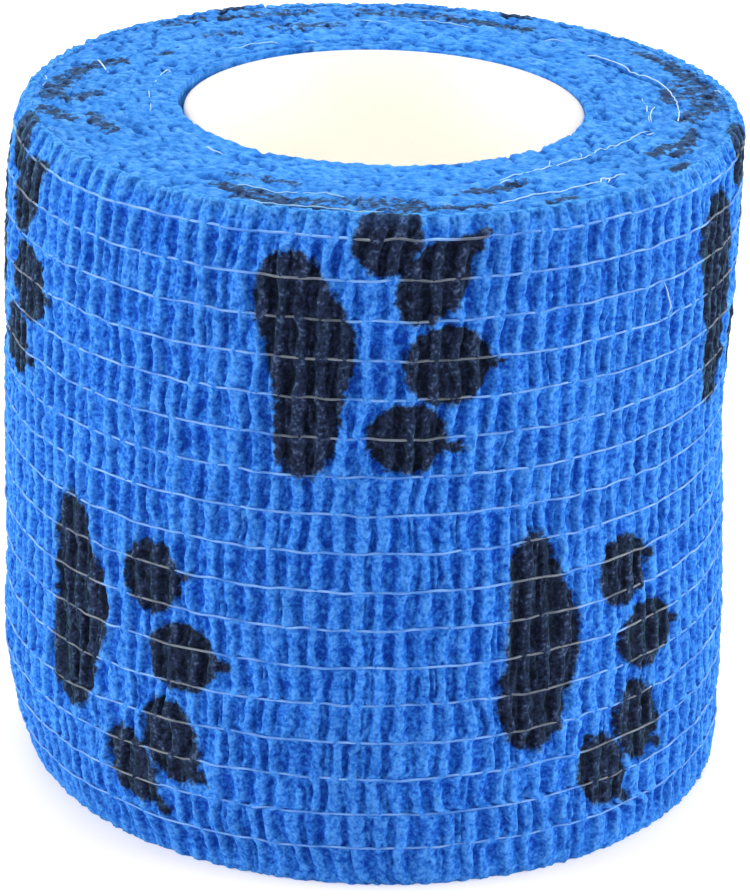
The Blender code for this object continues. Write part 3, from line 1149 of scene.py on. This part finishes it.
def coreMaterial():
    material, tree, shader = newMaterial("cream core plastic")
    place = objectPlace(tree)
    inside = blendColours(tree, grain(tree, place, 6.0, 3.0), *core["inside"])
    height = addNode(tree, "ShaderNodeSeparateXYZ", {"Vector": place}).outputs["Z"]
    # the rim's grey is painted shade
    rim = between(tree, height, core["rimFrom"] * mm, core["rimTo"] * mm)
    looks = {
        "Base Color": blendColours(tree, rim, inside, core["rim"]),
        "Roughness": core["roughness"],
        "Normal": addBump(tree, grain(tree, place, 0.6), 0.15, 0.05),
    }
    fillSockets(tree, shader.inputs, looks)
    return material


def coreTube():
    work = bmesh.new()
    outside, inside, top = core["radius"], core["radius"] - core["wall"], core["length"]
    corners = [(inside, 0.0), (outside, 0.0), (outside, top), (inside, top)]
    ring = [work.verts.new((radius * mm, 0.0, z * mm)) for radius, z in corners]
    work.faces.new(ring)
    bmesh.ops.bevel(
        work,
        geom=ring,
        affect="VERTICES",
        offset=core["ease"] * mm,
        segments=4,
        profile=0.5,
        material=-1,
    )
    bmesh.ops.delete(work, geom=work.faces[:], context="FACES_ONLY")
    bmesh.ops.spin(
        work,
        geom=work.verts[:] + work.edges[:],
        cent=(0, 0, 0),
        axis=(0, 0, 1),
        angle=math.tau,
        steps=core["sides"],
        use_merge=True,
    )
    bmesh.ops.remove_doubles(work, verts=work.verts, dist=0.001 * mm)
    bmesh.ops.recalc_face_normals(work, faces=work.faces)
    bmesh.ops.translate(work, verts=work.verts, vec=(roll["coreShift"] * mm, 0.0, 0.0))
    finishPiece("coreTube", toMesh("coreTube", work), coreMaterial(), "core_tube")


coreTube()


# A plain white table and soft light all round. Lengths are in metres.
studio = {
    "floorSize": 3.0,
    "floorColour": (0.50, 0.48, 0.55),
    "glow": 0.47,
    "world": 0.30,
    # name: (place, size, power), all turned to the roll's middle
    "middle": (0.0, 0.0, 0.025),
    "boxes": {
        "overhead": ((0.0, 0.15, 0.60), 0.55, 5.2),
        "leftBox": ((-0.55, -0.10, 0.22), 0.40, 4.2),
        "rightBox": ((0.55, -0.10, 0.22), 0.40, 4.1),
        "frontFill": ((0.0, -0.75, 0.30), 0.40, 0.7),
    },
    # a soft spot that reaches down the far side of the bore, turned this many degrees up from level
    "boreSpot": {
        "aim": (0.0003, 0.0138, 0.036),
        "distance": 0.5,
        "elevation": 45.0,
        "cone": 2.9,
        "power": 11.5,
        "softness": 0.01,
    },
}


def addFloor():
    work = bmesh.new()
    bmesh.ops.create_grid(work, x_segments=1, y_segments=1, size=studio["floorSize"] / 2)
    data = toMesh("floor", work)
    material, tree, shader = newMaterial("white table")
    looks = {
        "Base Color": (*studio["floorColour"], 1.0),
        "Roughness": 0.9,
        "Specular IOR Level": 0.0,
        "Emission Color": (1.0, 1.0, 1.0, 1.0),
        "Emission Strength": studio["glow"],
    }
    fillSockets(tree, shader.inputs, looks)
    data.materials.append(material)
    floor = addObject("floor", data)


def addLight(name, kind, power, place, away):
    # away points from what the light is turned to, back to the light
    data = bpy.data.lights.new(name, kind)
    data.energy = power
    light = addObject(name, data)
    light.location = place
    light.rotation_euler = away.to_track_quat("Z", "Y").to_euler()
    return data


def addLights():
    world = bpy.data.worlds.new("studio")
    world.use_nodes = True
    sky = world.node_tree
    white = (1.0, 1.0, 1.0, 1.0)
    fillSockets(sky, sky.nodes["Background"].inputs, {"Color": white, "Strength": studio["world"]})
    bpy.context.scene.world = world
    for name, (place, size, power) in studio["boxes"].items():
        box = addLight(name, "AREA", power, place, Vector(place) - Vector(studio["middle"]))
        box.shape, box.size = "SQUARE", size
    spot = studio["boreSpot"]
    up = math.radians(spot["elevation"])
    away = Vector((0.0, -math.cos(up), math.sin(up))) * spot["distance"]
    beam = addLight("boreSpot", "SPOT", spot["power"], Vector(spot["aim"]) + away, away)
    beam.spot_size, beam.spot_blend = math.radians(spot["cone"]), 1.0
    beam.shadow_soft_size = spot["softness"]
    bpy.context.scene.view_settings.view_transform = "Standard"


addFloor()
addLights()
print("set up the table and the lights")
